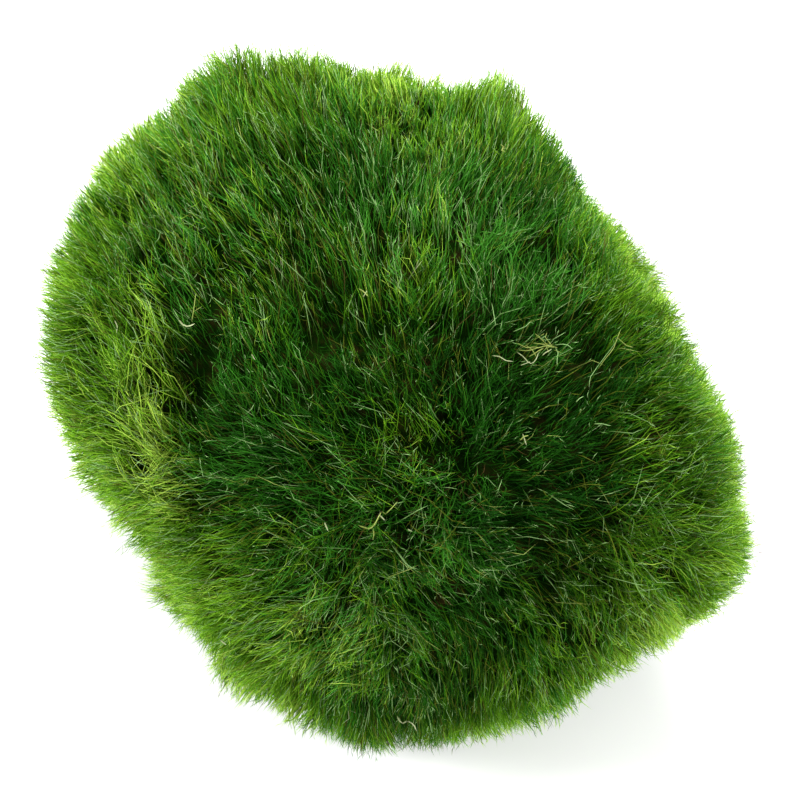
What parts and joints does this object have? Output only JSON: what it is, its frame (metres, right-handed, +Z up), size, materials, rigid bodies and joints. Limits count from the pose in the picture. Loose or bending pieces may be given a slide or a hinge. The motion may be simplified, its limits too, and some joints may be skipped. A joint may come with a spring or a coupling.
{
  "type": "marimo moss ball",
  "caption": "Living ball of green filamentous moss for an aquarium: a lopsided, rounded lump with a soft tufted coat that rests on a small flat spot.",
  "frame": {"origin": "on the surface it rests on, under the middle of the ball's box", "axes": "+X along the ball's longest side, +Z up, out of the surface it rests on"},
  "size_m": [0.06, 0.048, 0.0423],
  "materials": {
    "moss": "matte, fibrous"
  },
  "bodies": {
    "root": {"moss_ball": "moss"}
  },
  "joints": []
}
